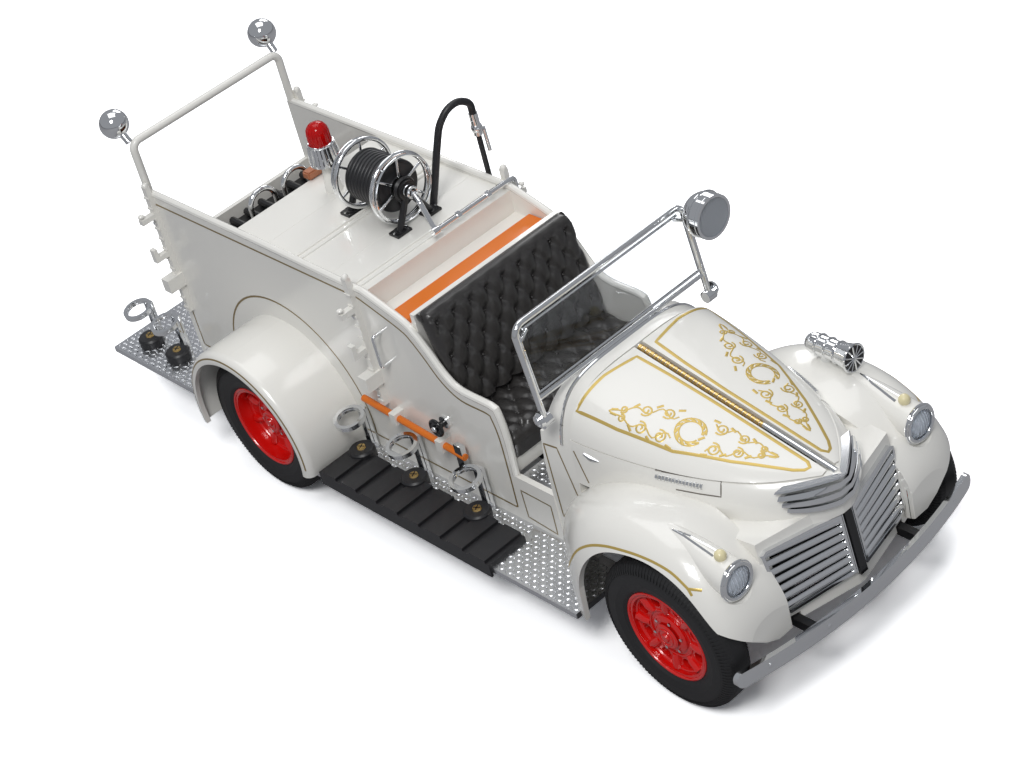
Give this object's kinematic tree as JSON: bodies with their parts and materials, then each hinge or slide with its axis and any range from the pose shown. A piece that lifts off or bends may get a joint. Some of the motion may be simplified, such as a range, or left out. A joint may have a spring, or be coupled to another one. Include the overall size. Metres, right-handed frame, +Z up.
{
  "type": "model fire engine",
  "caption": "White open-cab model fire engine with red wheels, tufted black seat, chrome grille and bumper, hose reel on a rear deck, running boards with holders and a low windshield.",
  "frame": {"origin": "centre of the bounding box in plan, on the ground under the tyres", "axes": "+X forwards, +Y to the vehicle's left, +Z up"},
  "size_m": [0.2456, 0.0904, 0.0916],
  "materials": {
    "body_white": "warm white gloss paint",
    "chrome": "bright plating",
    "chassis_black": "satin black",
    "engine_grey": "plain dark grey",
    "tyre_black": "soft black tyre",
    "wheel_red": "bright red gloss paint",
    "tread_plate": "bright tread plate",
    "bed_black": "matt black",
    "rubber_black": "satin black",
    "trim_black": "gloss black",
    "seat_black": "black tufted, soft sheen",
    "wood_orange": "varnished orange-brown",
    "clear_glass": "clear",
    "lamp_lens": "clear ribbed",
    "lamp_cream": "cream",
    "lamp_red": "clear red"
  },
  "bodies": {
    "vehicle": {"frame": "chassis_black", "engine": "engine_grey", "axles": "chassis_black", "body_sides": "body_white", "cab_floor": "tread_plate", "bed_floor": "bed_black", "deck": "body_white", "hood_hinge": "chrome", "nose_shell": "body_white", "cowl": "body_white", "front_fenders": "body_white", "rear_fenders": "body_white", "step_plates": "tread_plate", "board_pads": "rubber_black", "extinguisher_holders": "chrome", "seat_base": "body_white", "seat_slat": "wood_orange", "seat_back": "seat_black", "seat_cushion": "seat_black", "steering_wheel": "trim_black", "windshield_frame": "chrome", "windshield_glass": "clear_glass", "searchlight": "chrome", "grille_centre_bar": "trim_black", "radiator": "bed_black", "grille": "chrome", "bumper": "chrome", "headlight_rings": "chrome", "lamp_lenses": "lamp_lens", "marker_lamps": "lamp_cream", "siren": "chrome", "reel_hoops": "chrome", "reel_stand": "chassis_black", "wound_hose": "rubber_black", "hose_lead": "rubber_black", "nozzle": "chrome", "feed_pipe": "chrome", "beacon_post": "body_white", "beacon_base": "chrome", "beacon_dome": "lamp_red", "rear_hoop": "body_white", "ball_lamps": "chrome", "rack_brackets": "body_white", "axe_handle": "wood_orange", "axe_head": "chrome", "side_valves": "trim_black", "grab_handles": "chrome", "bed_hoops": "chrome"},
    "knuckle_left_body": {"knuckle_left": "chassis_black"},
    "knuckle_right_body": {"knuckle_right": "chassis_black"},
    "front_wheel_left": {"front_tyre_left": "tyre_black", "front_rim_left": "wheel_red"},
    "front_wheel_right": {"front_tyre_right": "tyre_black", "front_rim_right": "wheel_red"},
    "rear_wheels_left": {"rear_tyres_left": "tyre_black", "rear_rims_left": "wheel_red"},
    "rear_wheels_right": {"rear_tyres_right": "tyre_black", "rear_rims_right": "wheel_red"},
    "hood_left_body": {"hood_left": "body_white"},
    "hood_right_body": {"hood_right": "body_white"}
  },
  "joints": [
    {"name": "steer_left", "type": "hinge", "parent": "vehicle", "child": "knuckle_left_body", "pos_m": [0.0955, 0.0278, 0.0194], "axis": [0, 0, 1], "range_deg": [-8, 8]},
    {"name": "steer_right", "type": "hinge", "parent": "vehicle", "child": "knuckle_right_body", "pos_m": [0.0955, -0.0278, 0.0194], "axis": [0, 0, 1], "range_deg": [-8, 8]},
    {"name": "front_wheel_left_spin", "type": "hinge", "parent": "knuckle_left_body", "child": "front_wheel_left", "pos_m": [0.0955, 0.0352, 0.0194], "axis": [0, 1, 0], "continuous": true},
    {"name": "front_wheel_right_spin", "type": "hinge", "parent": "knuckle_right_body", "child": "front_wheel_right", "pos_m": [0.0955, -0.0352, 0.0194], "axis": [0, 1, 0], "continuous": true},
    {"name": "rear_wheels_left_spin", "type": "hinge", "parent": "vehicle", "child": "rear_wheels_left", "pos_m": [-0.048, 0.0327, 0.0194], "axis": [0, 1, 0], "continuous": true},
    {"name": "rear_wheels_right_spin", "type": "hinge", "parent": "vehicle", "child": "rear_wheels_right", "pos_m": [-0.048, -0.0327, 0.0194], "axis": [0, 1, 0], "continuous": true},
    {"name": "hood_left_lift", "type": "hinge", "parent": "vehicle", "child": "hood_left_body", "pos_m": [0.0603, 0, 0.05994], "axis": [0.9776, 0, -0.2106], "range_deg": [0, 55]},
    {"name": "hood_right_lift", "type": "hinge", "parent": "vehicle", "child": "hood_right_body", "pos_m": [0.0603, 0, 0.05994], "axis": [-0.9776, 0, 0.2106], "range_deg": [0, 55]}
  ],
  "couplings": [
    {"joint": "steer_right", "follows": "steer_left", "ratio": 1}
  ]
}
